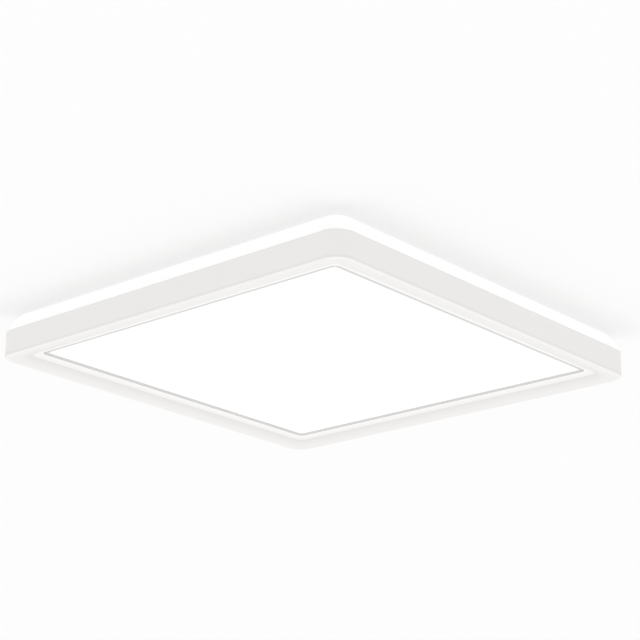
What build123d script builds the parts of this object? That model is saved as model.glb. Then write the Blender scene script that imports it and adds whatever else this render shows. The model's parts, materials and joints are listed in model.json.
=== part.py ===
"""Square flush-mount LED ceiling light with an edge-lit panel and a glowing rim towards the ceiling.

The light hangs from a steel bracket: spring clips on the bracket snap through two slots in the pressed
rear pan, so the whole light pulls straight down off the ceiling. The origin is the centre of the
bracket's face on the ceiling, +Z points up into the ceiling and the lamp hangs in -Z.
All lengths are millimetres. "Inset" is the distance inwards from the outer face of the square body.
"""
from build123d import *
import math
import os

# ---------------------------------------------------------------- overall size
side = 294.0                 # outer width of the square body
height = 29.0                # ceiling to the lowest point of the bezel
corner_radius = 12.0         # outer upright corners
corner_tightening = 0.4      # how much the corner radius shrinks for each mm of inset
ceiling_gap = 0.5            # air between the glowing ring and the ceiling
ring_height = 11.5           # ceiling to the top edge of the bezel frame

# ---------------------------------------------------------------- bezel frame (moulded)
frame_wall = 2.2
edge_radius = 2.0            # outer bottom edge
bezel_flat = 0.6             # narrow flat next to the rounded edge
rim_inset = 14.2             # crease, where the curved bezel face ends
bezel_lean = 0.3             # share of the rise that is straight, the rest is curved
rim_rise = 3.1               # how much the bezel face curves up to that crease
bevel_run = 6.4              # flatter inner band from the crease to the opening
bevel_rise = 1.6
ledge_thickness = 0.5        # thin edge round the opening, which the diffuser lies on
rebate_depth = 1.5           # step in the top of the wall, where the ring stands
rebate_lip = 1.1             # wall left outside that step
trough_floor = 2.0           # moulded thickness under the hollow behind the bezel, at the wall
trough_inner_floor = 1.7     # and at its inner edge, above the crease
rib_thickness = 1.2
rib_pitch = 24.0
rib_drop = 0.6               # rib tops below the ledge
ribs_each_side_of_middle = 3
boss_radius = 3.4
boss_corner_distance = 52.0  # bosses from the corners

# ---------------------------------------------------------------- glowing ring (opal)
ring_wall = 2.0
ring_clearance = 0.1
ring_crown_inset = 6.8       # where the curved wall meets the flat top
ring_bulge = 1.3             # how far the curved wall stands out from a straight taper
ring_outer_sections = 5
ring_inner_sections = 4
ring_flange_land = 8.0       # how far the ring's top reaches in over the pan

# ---------------------------------------------------------------- optical stack
fit_gap = 0.4                # free edge round sheets that lie in the tray
diffuser_thickness = 2.3
diffuser_overlap = 5.8       # how much of the diffuser lies on the ledge
guide_thickness = 3.0
notch_depth = 2.4            # notches in the guide for the supply wires
notch_side_gap = 1.1
reflector_thickness = 0.4

# ---------------------------------------------------------------- light tray (folded aluminium)
sheet = 1.0                  # sheet thickness of the tray and of the pan
tray_flange_gap = 0.2        # flange edge above the ledge
tray_ledge_land = 0.6        # how far the ledge reaches out past the flange
tray_corner = 2.0

# ---------------------------------------------------------------- light-emitting boards
board_thickness = 1.0
chip_thickness = 0.8
chip_long = 3.5
chip_short = 2.8
front_board_height = 3.2
front_board_end_inset = 31.0
front_chip_pitch = 8.0
halo_board_end_inset = 45.0
halo_chip_pitch = 20.0
chip_end_margin = 12.0       # room at the boards' ends for the wires
board_edge_gap = 0.5         # halo board below the pan's bevelled edge
board_seat_gap = 0.1         # front board below the tray

# ---------------------------------------------------------------- rear pan (pressed steel)
pan_drop = 2.5               # top face below the ceiling
pan_inset = 23.0
pan_corner = 8.0
pan_edge = 2.0               # bevelled edge of the pressed top
pan_flange_gap = 1.4         # pan flange to the frame's wall
pocket_depth = 5.0           # pressed pocket that takes the bracket
pocket_corner = 6.0
pocket_end_gap = 12.0        # pocket past the bracket's ends
pocket_side_gap = 8.0        # pocket past the bracket's long sides
bead_length = 150.0
bead_width = 7.0
bead_height = 0.9
bead_spacing = 15.0

# ---------------------------------------------------------------- ceiling bracket and clips
bracket_length = 200.0
bracket_width = 40.0
bracket_sheet = 1.2
bracket_corner = 4.0
flange_gap = 0.3             # bracket flange above the pocket floor
flange_end_gap = 1.0         # flanges stop short of the clips
screw_slot_spacing = 120.0
screw_slot_length = 20.0
screw_slot_radius = 2.5
bracket_cable_radius = 10.0
clip_sheet = 0.6
clip_width = 24.0
clip_setback = 8.3           # clip leg from the bracket's end
clip_foot_length = 12.7
clip_foot_bend = 1.2
clip_barb_bend = 1.6
clip_reach = 4.5             # how far the barb stands out from the leg
clip_tip_back = 5.6
clip_barb_drop = 2.6
clip_tip_drop = 4.4
clip_hook_gap = 0.3          # barb below the edge of the pan's slot
clip_slot_overlap = 2.0      # how much pan metal the barb hooks under
clip_slot_inside = 5.0       # room for the leg to bend inwards
clip_slot_side_gap = 2.0
rivet_radius = 1.6
rivet_head_radius = 2.8
rivet_head_height = 1.1
rivet_head_edge = 0.6
rivet_setback = 7.7          # rivet row behind the clip leg
rivet_spacing = 12.0
rivet_gap = 0.05

# ---------------------------------------------------------------- cable grommet
grommet_bore_radius = 4.0
grommet_neck_radius = 7.0
grommet_flange_radius = 9.0
grommet_flange_height = 2.0
grommet_edge = 0.8
grommet_seat_gap = 0.05

# ---------------------------------------------------------------- wiring box and lid
box_wall = 1.4
box_gap = 0.1                # box below the pan's sheet
box_pocket_gap = 0.4         # box beside the pocket's wall
box_half_width = 48.0
box_length = 58.6
box_corner = 3.0
neck_gap = 0.6               # neck round the grommet
box_boss_radius = 3.4
box_boss_web = 1.4
lid_opening_width = 72.0
lid_opening_corner = 3.0
lid_near_margin = 6.6        # opening behind the box's front wall
lid_far_margin = 8.0         # opening before the box's back wall
lid_gap = 0.3
lid_thickness = 1.5
lid_rim_height = 0.8
lid_rim_thickness = 1.2
lid_rim_inset = 1.0
lid_rest_setback = 5.0
lid_rest_width = 3.0
lid_rest_reach = 3.5
finger_radius = 6.0
finger_depth = 0.8
hinge_back = 1.4             # hinge axis behind the edge of the opening
knuckle_radius = 1.0
knuckle_lift = 0.15          # barrels above the pan's top
knuckle_start = 10.0
knuckle_length = 9.7
knuckle_gap = 0.3
pin_radius = 0.5
pin_running_gap = 0.05
lid_arm_reach = 4.0

# ---------------------------------------------------------------- terminal
terminal_length = 16.0
terminal_width = 20.0
terminal_edge = 0.5
terminal_side_gap = 2.0
pole_spacing = 10.0
pole_groove = 0.8
entry_radius = 1.6
entry_depth = 5.6
contact_chamber = 4.6
contact_length = 5.6
contact_bore_depth = 3.0
contact_clearance = 0.2
button_length = 3.6          # along the wires
button_width = 4.6
button_height = 3.2
button_setback = 5.0         # from the face where the supply wires go in
button_lid_gap = 0.4
button_travel = 1.2
button_pocket_gap = 0.2
button_edge = 0.4
button_slot_width = 0.8
button_slot_length = 2.8
button_slot_depth = 0.5

# ---------------------------------------------------------------- cable clamp
clamp_x = 8.0
clamp_setback = 18.6         # from the box's front wall
clamp_post_spread = 8.5
clamp_post_radius = 3.0
clamp_post_height = 3.3
clamp_width = 7.0
clamp_thickness = 1.8
clamp_arch_radius = 4.2
clamp_arch_wall = 1.6
clamp_screw_length = 3.0

# ---------------------------------------------------------------- driver
driver_length = 124.0
driver_width = 48.0
driver_pocket_gap = 7.0      # driver beside the pocket's wall
driver_wall = 1.4
driver_corner = 2.5
driver_floor_gap = 0.2
driver_board_thickness = 1.6
driver_board_stand = 0.9
driver_board_gap = 0.4
driver_foot_width = 3.2
driver_foot_end_inset = 10.0
driver_foot_side_inset = 6.0
driver_boss_radius = 3.2
driver_boss_end_inset = 7.0
driver_boss_from_front = 16.0
driver_boss_board_gap = 1.0

# parts on the driver's board: middle along the driver, middle from its front wall, length, width, height
film_capacitor = (-43.0, 35.0, 10.0, 6.0, 6.2)
mains_choke = (-27.0, 35.5, 10.0, 9.0, 6.4)
bridge_rectifier = (-11.0, 11.5, 6.0, 5.0, 2.2)
slow_fuse = (-10.0, 36.0, 8.0, 6.0, 3.0)
controller_chip = (31.0, 11.5, 6.0, 5.0, 1.8)
power_chip = (43.5, 12.0, 7.0, 6.0, 2.4)
mains_can = (-25.0, 12.0, 18.0)      # middle, middle from the front wall, length
output_can = (39.0, 36.0, 14.0)
can_head_room = 1.3
core_middle = 14.0
core_length = 20.0
core_width = 18.0
core_leg = 4.0
core_back = 3.0
core_middle_leg = 3.0
core_head_room = 1.5
winding_gap = 0.4

# ---------------------------------------------------------------- wires
wire_sides = 8
mains_wire = 2.0
mains_bend = 5.0
mains_lane_spacing = 4.0
lead_wire = 1.4
lead_spacing = 2.8
lead_hole_gap = 0.1
wire_hole_gap = 0.2
lead_lift = 2.7              # where the leads go through the pan's wall, above its flange
lead_board_gap = 1.7         # halo board above that place
lead_end_inset = 6.0         # leads from the ends of the boards that they feed
jumper_bend_gap = 2.0
driver_lead_setback = 14.0   # front leads before the driver's back wall
driver_lead_inside = 6.0
driver_lead_straight = 12.0  # straight run past the driver's end
pan_lead_straight = 16.0     # straight run before the pan's wall
halo_lead_rise = (26.0, 14.0)  # where the halo leads change height, before the pan's wall
lead_bends = (9.0, 7.0, 3.0)
halo_lead_bends = (12.0, 12.0, 1.6)
jumper_gap = 1.8             # free space between the two wires of a jumper

# ---------------------------------------------------------------- screws
screw_head_radius = 3.0      # over the hexagon's corners
screw_head_height = 1.8
screw_head_edge = 0.4
screw_shank_radius = 1.25
screw_hole_radius = 1.3
screw_pass_radius = 1.7
pan_screw_length = 9.0
box_screw_length = 7.0
ring_screw_head_radius = 2.2
ring_screw_head_height = 0.9
ring_screw_slot = 0.7
ring_screw_sink = 1.1
ring_screw_length = 4.9
ring_screw_setback = 5.0     # from the pan's outer wall

# ---------------------------------------------------------------- insets worked out from the sizes above
half = side / 2
opening_inset = rim_inset + bevel_run
diffuser_inset = opening_inset - diffuser_overlap
tray_flange_inner_inset = diffuser_inset - fit_gap
tray_inset = tray_flange_inner_inset - sheet
trough_inner_inset = tray_inset + tray_ledge_land
front_board_face_inset = tray_flange_inner_inset + board_thickness
guide_inset = front_board_face_inset + chip_thickness + fit_gap
boss_inset = (frame_wall + trough_inner_inset) / 2
boss_spread = half - boss_corner_distance
pan_flange_inset = frame_wall + pan_flange_gap
ring_window_inset = pan_inset + ring_flange_land
ring_screw_inset = pan_inset + ring_screw_setback
front_board_length = side - 2 * front_board_end_inset
halo_board_length = side - 2 * halo_board_end_inset
halo_board_face = half - pan_inset + board_thickness
lead_down_x = half - front_board_face_inset - lead_wire / 2
front_lead_y = front_board_length / 2 - lead_end_inset
lead_hole = lead_wire / 2 + lead_hole_gap

# ---------------------------------------------------------------- heights worked out, from the bottom up
bottom_z = -height
rim_z = bottom_z + rim_rise
bevel_top_z = rim_z + bevel_rise
ledge_z = bevel_top_z + ledge_thickness
diffuser_top_z = ledge_z + diffuser_thickness
guide_top_z = diffuser_top_z + guide_thickness
tray_under_z = guide_top_z + reflector_thickness
tray_top_z = tray_under_z + sheet
flange_top_z = tray_top_z + sheet
trough_z = bottom_z + trough_floor
trough_inner_z = rim_z + trough_inner_floor
driver_lid_z = tray_top_z + driver_floor_gap
driver_case_z = driver_lid_z + driver_wall
driver_board_z = driver_case_z + driver_board_stand
board_top_z = driver_board_z + driver_board_thickness
lead_z = board_top_z + lead_wire / 2
wire_z = board_top_z + mains_wire / 2
box_floor_z = tray_top_z + box_wall
clamp_z = box_floor_z + clamp_post_height
pass_z = flange_top_z + lead_lift

# ---------------------------------------------------------------- heights worked out, from the ceiling down
ring_top_z = -ceiling_gap
frame_top_z = -ring_height
pan_top_z = -pan_drop
pan_under_z = pan_top_z - sheet
pocket_floor_z = pan_top_z - pocket_depth
pocket_under_z = pocket_floor_z - sheet
hinge_z = pan_top_z + knuckle_radius + knuckle_lift
lid_under_z = pan_top_z - lid_thickness
lid_rim_z = lid_under_z - lid_rim_height
button_top_z = lid_rim_z - button_lid_gap
terminal_top_z = button_top_z - button_travel
halo_board_top_z = pan_top_z - pan_edge - board_edge_gap
halo_board_low_z = pass_z + lead_wire / 2 + lead_board_gap
halo_chip_z = (halo_board_top_z + halo_board_low_z) / 2
driver_room = pan_under_z - driver_wall - board_top_z

# ---------------------------------------------------------------- places worked out in plan
pocket_length = bracket_length + 2 * pocket_end_gap
pocket_width = bracket_width + 2 * pocket_side_gap
pocket_outer_y = pocket_width / 2 + sheet
clip_leg_x = bracket_length / 2 - clip_setback
clip_slot_outer_x = clip_leg_x + clip_reach + clip_sheet / 2 - clip_slot_overlap
box_front_y = -pocket_outer_y - box_pocket_gap
box_back_y = box_front_y - box_length
lid_near_y = box_front_y - lid_near_margin
lid_far_y = box_back_y + lid_far_margin
lid_middle_y = (lid_near_y + lid_far_y) / 2
box_boss_x = box_half_width - box_wall - box_boss_radius - 0.2
hinge_y = lid_far_y - hinge_back
neck_reach = grommet_flange_radius + neck_gap + box_wall
terminal_x = terminal_side_gap - lid_opening_width / 2
terminal_face_x = terminal_x + terminal_length
terminal_middle_y = lid_far_y + terminal_width / 2
pole_rows = (terminal_middle_y - pole_spacing / 2, terminal_middle_y + pole_spacing / 2)
button_x = terminal_face_x - button_setback
clamp_y = box_front_y - clamp_setback
driver_front_y = pocket_outer_y + driver_pocket_gap
driver_back_y = driver_front_y + driver_width
driver_end_x = driver_length / 2
driver_boss_x = driver_end_x - driver_boss_end_inset
driver_boss_y = driver_front_y + driver_boss_from_front
driver_lead_y = driver_back_y - driver_lead_setback
halo_lead_y = 3 * halo_chip_pitch
mains_lanes = (mains_lane_spacing - driver_end_x, 2 * mains_lane_spacing - driver_end_x)


def corner(inset):
    """Corner radius of the outline at this inset."""
    return corner_radius - corner_tightening * inset


def outline(inset, z, radius=None):
    """Rounded square outline at this inset and height."""
    width = side - 2 * inset
    return Pos(0, 0, z) * RectangleRounded(width, width, corner(inset) if radius is None else radius)


def slab(inset, z_low, z_high, radius=None):
    """Rounded square prism between two heights."""
    return extrude(outline(inset, z_low, radius), z_high - z_low)


def rounded_block(length, width, radius, z_low, z_high):
    """Rounded rectangular prism round the origin."""
    return extrude(Pos(0, 0, z_low) * RectangleRounded(length, width, radius), z_high - z_low)


def block(x, y, z):
    """Box from three (low, high) pairs."""
    size = (x[1] - x[0], y[1] - y[0], z[1] - z[0])
    return Pos((x[0] + x[1]) / 2, (y[0] + y[1]) / 2, (z[0] + z[1]) / 2) * Box(*size)


def around(middle, length):
    """Pair (low, high) of this length round a middle."""
    return middle - length / 2, middle + length / 2


def mirrored(pair):
    """The same stretch on the other side of the origin."""
    return -pair[1], -pair[0]


def post(x, y, radius, z_low, z_high):
    """Upright cylinder."""
    return Pos(x, y, (z_low + z_high) / 2) * Cylinder(radius, z_high - z_low)


def rod_x(x, y, z, radius):
    """Cylinder along X between two x values."""
    return Pos((x[0] + x[1]) / 2, y, z) * Rot(0, 90, 0) * Cylinder(radius, x[1] - x[0])


def rod_y(x, y, z, radius):
    """Cylinder along Y between two y values."""
    return Pos(x, (y[0] + y[1]) / 2, z) * Rot(90, 0, 0) * Cylinder(radius, y[1] - y[0])


def four_sides(make, along_values):
    """Copies of make(position along the side) on all four sides, made for the +X side and turned."""
    return [Rot(0, 0, 90 * turn) * make(along) for turn in range(4) for along in along_values]


def joined(shapes):
    """One compound of separate solids."""
    return Compound(children=[solid for shape in shapes for solid in shape.solids()])


def wire(points, radii, diameter):
    """Wire along straight runs joined by tangent arcs."""
    path = FilletPolyline(*points, radius=radii)
    section = Plane(origin=path @ 0, z_dir=path % 0) * RegularPolygon(diameter / 2, wire_sides)
    return sweep(section, path=path)


def lead_rows(middle):
    """Places of the two wires of a pair."""
    return around(middle, lead_spacing)


def pair_span(middle):
    """Width of a hole for a pair of wires."""
    return around(middle, lead_spacing + 2 * lead_hole)


def chip_rows(board_length, pitch):
    """Places of the chips along a board, centred, clear of its ends."""
    count = int((board_length - 2 * chip_end_margin) / pitch) + 1
    return [(n - (count - 1) / 2) * pitch for n in range(count)]


def screw(x, y, seat_z, length):
    """Hexagon-head screw pointing down, its head standing on seat_z."""
    head = extrude(Pos(x, y, seat_z) * RegularPolygon(screw_head_radius, 6), screw_head_height)
    head = chamfer(head.edges().group_by(Axis.Z)[-1], screw_head_edge)
    return head + post(x, y, screw_shank_radius, seat_z - length, seat_z)


# ================================================================ visible shell
def bezel_rise(inset):
    """Height of the bezel face above the lowest point: nearly level at the outer edge, then steeper."""
    start = edge_radius + bezel_flat
    share = (inset - start) / (rim_inset - start)
    return rim_rise * share * (share + bezel_lean * (1 - share))


def bezel_frame():
    """Moulded frame: curved bezel, inner band, ledge, trough with ribs and screw bosses, rebated wall."""
    frame = slab(0, bottom_z, frame_top_z)
    frame = fillet(frame.edges().group_by(Axis.Z)[0], edge_radius)
    frame -= slab(frame_wall, ledge_z, frame_top_z)
    frame -= slab(rebate_lip, frame_top_z - rebate_depth, frame_top_z)
    trough = slab(frame_wall, trough_z, ledge_z) - slab(trough_inner_inset, trough_z, ledge_z)
    floor = loft([outline(frame_wall, trough_z), outline(trough_inner_inset, trough_inner_z)], ruled=True)
    frame -= trough - floor
    root = 0.5                   # how far ribs and bosses grow into the walls that carry them
    rib_reach = (half - trough_inner_inset - root, half - frame_wall + root)
    rib_height = (trough_z - root, ledge_z - rib_drop)
    places = [rib_pitch * n for n in range(-ribs_each_side_of_middle, ribs_each_side_of_middle + 1)]

    def rib(along):
        return block(rib_reach, around(along, rib_thickness), rib_height)

    def boss(along):
        return post(half - boss_inset, along, boss_radius, trough_z - root, tray_top_z)

    def boss_hole(along):
        return post(half - boss_inset, along, screw_hole_radius, tray_top_z - pan_screw_length, tray_top_z)

    boss_places = (-boss_spread, boss_spread)
    frame = frame + four_sides(rib, places) + four_sides(boss, boss_places)
    frame -= four_sides(boss_hole, boss_places)
    start = edge_radius + bezel_flat
    steps = [start + (rim_inset - start) * share / 3 for share in range(4)]
    frame -= loft([outline(inset, bottom_z + bezel_rise(inset)) for inset in steps])
    frame -= loft([outline(rim_inset, rim_z), outline(opening_inset, bevel_top_z)], ruled=True)
    return frame - slab(opening_inset, bevel_top_z, ledge_z)


def ring_profile(depth, z_stop, sections):
    """Sections (inset, z) of the ring's curved wall, depth below its outer skin, up to z_stop.

    The skin is an arc through the foot and the crown that stands out from their chord by ring_bulge.
    """
    foot = (rebate_lip + ring_clearance, frame_top_z)
    crown = (ring_crown_inset, ring_top_z)
    chord = math.dist(foot, crown)
    radius = chord**2 / (8 * ring_bulge) + ring_bulge / 2
    along = ((crown[0] - foot[0]) / chord, (crown[1] - foot[1]) / chord)
    reach = radius - ring_bulge
    centre_inset = (foot[0] + crown[0]) / 2 + along[1] * reach
    centre_z = (foot[1] + crown[1]) / 2 - along[0] * reach
    start = math.asin((foot[1] - centre_z) / radius)
    stop = math.asin((z_stop - centre_z) / (radius - depth))
    angles = [start + (stop - start) * n / (sections - 1) for n in range(sections)]
    return [
        (centre_inset - (radius - depth) * math.cos(a), centre_z + (radius - depth) * math.sin(a))
        for a in angles
    ]


def ring_screw_places():
    """One screw in the middle of each side."""
    reach = half - ring_screw_inset
    return [(reach, 0), (0, reach), (-reach, 0), (0, -reach)]


def glow_ring():
    """Opal shell: foot in the frame's rebate, curved wall, flat top that lies on the pan."""
    outer = ring_profile(0, ring_top_z, ring_outer_sections)
    inner = ring_profile(ring_wall, pan_top_z, ring_inner_sections)
    foot_z = frame_top_z - rebate_depth
    ring = slab(outer[0][0], foot_z, outer[0][1]) + loft([outline(i, z) for i, z in outer])
    ring -= slab(inner[0][0], foot_z, inner[0][1]) + loft([outline(i, z) for i, z in inner], ruled=True)
    ring -= slab(ring_window_inset, pan_top_z, ring_top_z, pan_corner)
    sink_radius = ring_screw_head_radius + ring_clearance
    for x, y in ring_screw_places():
        ring -= post(x, y, sink_radius, ring_top_z - ring_screw_sink, ring_top_z)
        ring -= post(x, y, screw_pass_radius, pan_top_z, ring_top_z)
    return ring


def ring_screws():
    """Flat slotted screws sunk into the ring's top, through the ring into the pan."""
    seat = ring_top_z - ring_screw_sink
    top = seat + ring_screw_head_height
    slot_low = seat + ring_screw_head_height / 2
    screws = []
    for x, y in ring_screw_places():
        head = post(x, y, ring_screw_head_radius, seat, top)
        head -= block(around(x, 2 * ring_screw_head_radius), around(y, ring_screw_slot), (slot_low, top))
        screws.append(head + post(x, y, screw_shank_radius, seat - ring_screw_length, seat))
    return joined(screws)


# ================================================================ optical stack
def notched_slab(inset, z_low, z_high):
    """Square sheet with a notch in its left and right edges where the supply wires come down."""
    plate = slab(inset, z_low, z_high, tray_corner)
    edge = half - inset
    rows = around(front_lead_y, lead_spacing + lead_wire + 2 * notch_side_gap)
    notch = (edge - notch_depth, edge + 1)
    for x in (notch, mirrored(notch)):
        plate -= block(x, rows, (z_low, z_high))
    return plate


def front_diffuser():
    return slab(diffuser_inset, ledge_z, diffuser_top_z, tray_corner)


def light_guide_plate():
    return notched_slab(guide_inset, diffuser_top_z, guide_top_z)


def reflector_sheet():
    return notched_slab(guide_inset, guide_top_z, tray_under_z)


def light_tray():
    """Folded tray, open below, with holes where the leads come down to the front boards."""
    tray = slab(tray_inset, ledge_z + tray_flange_gap, tray_top_z, tray_corner)
    tray -= slab(tray_flange_inner_inset, ledge_z + tray_flange_gap, tray_under_z, tray_corner - sheet)
    for x in (-lead_down_x, lead_down_x):
        tray -= block(around(x, 2 * lead_hole), pair_span(front_lead_y), (tray_under_z, tray_top_z))
    return tray


def edge_foam_strips():
    """White foam between the guide plate and the tray flange, on the two sides without boards."""
    y = (half - guide_inset, half - tray_flange_inner_inset)
    north = block(around(0, front_board_length), y, (diffuser_top_z, guide_top_z))
    return joined([north, Rot(0, 0, 180) * north])


def front_led_board():
    """Board on the tray's +X flange, facing inwards."""
    x = (half - front_board_face_inset, half - tray_flange_inner_inset)
    top = tray_under_z - board_seat_gap
    return block(x, around(0, front_board_length), (top - front_board_height, top))


def front_led_chips():
    x = (half - front_board_face_inset - chip_thickness, half - front_board_face_inset)
    z = around((diffuser_top_z + guide_top_z) / 2, chip_short)
    east = [block(x, around(y, chip_long), z) for y in chip_rows(front_board_length, front_chip_pitch)]
    return joined(east + [Rot(0, 0, 180) * chip for chip in east])


def halo_led_board():
    """Board on the pan's +X side wall, facing outwards at the glowing ring."""
    x = (half - pan_inset, halo_board_face)
    return block(x, around(0, halo_board_length), (halo_board_low_z, halo_board_top_z))


def halo_led_chips():
    x = (halo_board_face, halo_board_face + chip_thickness)

    def chip(y):
        return block(x, around(y, chip_long), around(halo_chip_z, chip_short))

    return joined(four_sides(chip, chip_rows(halo_board_length, halo_chip_pitch)))


# ================================================================ rear pan
def pan_screw_places():
    """Screw places of the +X side."""
    return [(half - boss_inset, y) for y in (-boss_spread, boss_spread)]


def bead_rows():
    """Two beads between the driver's screws and its back wall."""
    middle = (driver_boss_y + driver_back_y) / 2 + bead_width / 2
    return around(middle, bead_spacing)


def bead(y, grow, z_low, z_high):
    """Long raised bead that stiffens the pan."""
    shape = SlotOverall(bead_length - 2 * grow, bead_width - 2 * grow)
    return extrude(Pos(0, y, z_low) * shape, z_high - z_low)


def clip_slot():
    """Slot in the pocket floor that the +X clip snaps through."""
    x = (clip_leg_x - clip_slot_inside, clip_slot_outer_x)
    return block(x, around(0, clip_width + 2 * clip_slot_side_gap), (pocket_under_z - 1, pocket_floor_z + 1))


def knuckle_spans(sign):
    """x ranges of the lid's knuckle and of the pan's, on one side of the middle."""
    inner = (knuckle_start, knuckle_start + knuckle_length)
    outer = (inner[1] + knuckle_gap, inner[1] + knuckle_gap + knuckle_length)
    return (inner, outer) if sign > 0 else (mirrored(inner), mirrored(outer))


def pin_bore(span):
    return rod_x(span, hinge_y, hinge_z, pin_radius + pin_running_gap)


def pan_knuckle(sign):
    """Barrel that stands on the pan's top, with its web."""
    span = knuckle_spans(sign)[1]
    web = block(span, around(hinge_y, 2 * knuckle_radius), (pan_top_z - sheet / 2, hinge_z))
    return rod_x(span, hinge_y, hinge_z, knuckle_radius) + web - pin_bore(span)


def lid_prism(grow, z_low, z_high):
    """Prism of the lid's opening, made smaller all round by grow."""
    shape = RectangleRounded(
        lid_opening_width - 2 * grow, lid_near_y - lid_far_y - 2 * grow, lid_opening_corner - grow
    )
    return extrude(Pos(0, lid_middle_y, z_low) * shape, z_high - z_low)


def pan_holes():
    """Holes for screws, leads and clips, and the lid's opening."""
    holes = [lid_prism(0, pan_under_z, pan_top_z), clip_slot(), Rot(0, 0, 180) * clip_slot()]
    holes.append(post(0, 0, grommet_neck_radius, pocket_under_z, pocket_floor_z))
    for x, y in pan_screw_places():
        holes += [Rot(0, 0, 90 * turn) * post(x, y, screw_pass_radius, tray_top_z, flange_top_z)
                  for turn in range(4)]
    holes += [post(x, y, screw_hole_radius, pan_under_z, pan_top_z) for x, y in ring_screw_places()]
    for x, y in driver_screw_places() + box_screw_places():
        holes.append(post(x, y, screw_pass_radius, pan_under_z, pan_top_z))
    wall_x = (half - pan_inset - sheet - 1, half - pan_inset + 1)
    pass_height = around(pass_z, 2 * lead_hole)
    holes += [block(x, pair_span(front_lead_y), pass_height) for x in (wall_x, mirrored(wall_x))]
    holes.append(block(wall_x, pair_span(halo_lead_y), pass_height))
    for x in (-lead_down_x, lead_down_x):
        holes.append(block(around(x, 2 * lead_hole), pair_span(front_lead_y), (tray_top_z, flange_top_z)))
    return holes


def rear_pan():
    """Pressed hat section with the bracket's pocket, beads, holes and hinge barrels."""
    outer = slab(pan_inset, tray_top_z, pan_top_z, pan_corner)
    outer = chamfer(outer.edges().group_by(Axis.Z)[-1], pan_edge)
    outer += slab(pan_flange_inset, tray_top_z, flange_top_z)
    cavity = slab(pan_inset + sheet, tray_top_z, pan_under_z, pan_corner - sheet)
    cavity = chamfer(cavity.edges().group_by(Axis.Z)[-1], pan_edge - (2 - math.sqrt(2)) * sheet)
    pressed = (pocket_length + 2 * sheet, pocket_width + 2 * sheet, pocket_corner + sheet)
    cavity -= rounded_block(*pressed, pocket_under_z, pan_under_z)
    pan = outer - cavity
    pan -= rounded_block(pocket_length, pocket_width, pocket_corner, pocket_floor_z, pan_top_z)
    for y in bead_rows():
        pan += bead(y, 0, pan_top_z - sheet / 2, pan_top_z + bead_height)
        pan -= bead(y, sheet, pan_under_z, pan_under_z + bead_height)
    return pan - pan_holes() + pan_knuckle(-1) + pan_knuckle(1)


def pan_screws():
    return joined([Rot(0, 0, 90 * turn) * screw(x, y, flange_top_z, pan_screw_length)
                   for turn in range(4) for x, y in pan_screw_places()])


# ================================================================ ceiling bracket
def rivet_places(sign):
    x = sign * (clip_leg_x - rivet_setback)
    return [(x, -rivet_spacing / 2), (x, rivet_spacing / 2)]


def ceiling_bracket():
    """Folded strip: flat face on the ceiling, two flanges, screw slots and a cable hole."""
    bottom = pocket_floor_z + flange_gap
    bracket = rounded_block(bracket_length, bracket_width, bracket_corner, bottom, 0)
    long_edges = bracket.edges().group_by(Axis.Z)[-1].filter_by(Axis.X)
    bracket = fillet(long_edges, bracket_sheet * 0.8)
    inside = around(0, bracket_width - 2 * bracket_sheet)
    bracket -= block(around(0, bracket_length + 2), inside, (bottom - 1, -bracket_sheet))
    end = (clip_leg_x - clip_foot_length - flange_end_gap, bracket_length / 2 + 1)
    for x in (end, mirrored(end)):
        bracket -= block(x, around(0, bracket_width + 2), (bottom - 1, -bracket_sheet))
    slot = SlotOverall(screw_slot_length, 2 * screw_slot_radius)
    for sign in (-1, 1):
        bracket -= extrude(Pos(sign * screw_slot_spacing / 2, 0, -bracket_sheet) * slot, bracket_sheet)
        bracket -= [post(x, y, rivet_radius + rivet_gap, -bracket_sheet, 0) for x, y in rivet_places(sign)]
    return bracket - post(0, 0, bracket_cable_radius, -bracket_sheet, 0)


def clip_bend_z():
    """Height of the bend where the barb starts, so that it passes clip_hook_gap under the slot's edge."""
    slope = clip_barb_drop / clip_reach
    skin = clip_sheet / 2 * math.hypot(1, slope)
    return pocket_under_z - clip_hook_gap - skin + (clip_slot_outer_x - clip_leg_x) * slope


def spring_clip():
    """Leaf spring on the bracket's +X end: foot, leg, outward barb and a tip that leads it in."""
    foot_z = -bracket_sheet - clip_sheet / 2
    barb = (clip_leg_x + clip_reach, 0, clip_bend_z() - clip_barb_drop)
    points = [
        (clip_leg_x - clip_foot_length, 0, foot_z),
        (clip_leg_x, 0, foot_z),
        (clip_leg_x, 0, clip_bend_z()),
        barb,
        (barb[0] - clip_tip_back, 0, barb[2] - clip_tip_drop),
    ]
    path = FilletPolyline(*points, radius=[clip_foot_bend, clip_barb_bend, clip_barb_bend])
    section = Plane(origin=path @ 0, z_dir=path % 0, x_dir=(0, 1, 0)) * Rectangle(clip_width, clip_sheet)
    hole = (rivet_radius + rivet_gap, -bracket_sheet - clip_sheet, -bracket_sheet)
    return sweep(section, path=path) - [post(x, y, *hole) for x, y in rivet_places(1)]


def clip_rivets():
    """Rivets with their shanks closed flush with the bracket's face on the ceiling."""
    rivets = []
    foot = -bracket_sheet - clip_sheet
    for x, y in rivet_places(-1) + rivet_places(1):
        head = post(x, y, rivet_head_radius, foot - rivet_head_height, foot)
        head = chamfer(head.edges().group_by(Axis.Z)[0], rivet_head_edge)
        rivets.append(head + post(x, y, rivet_radius, foot, 0))
    return joined(rivets)


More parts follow.
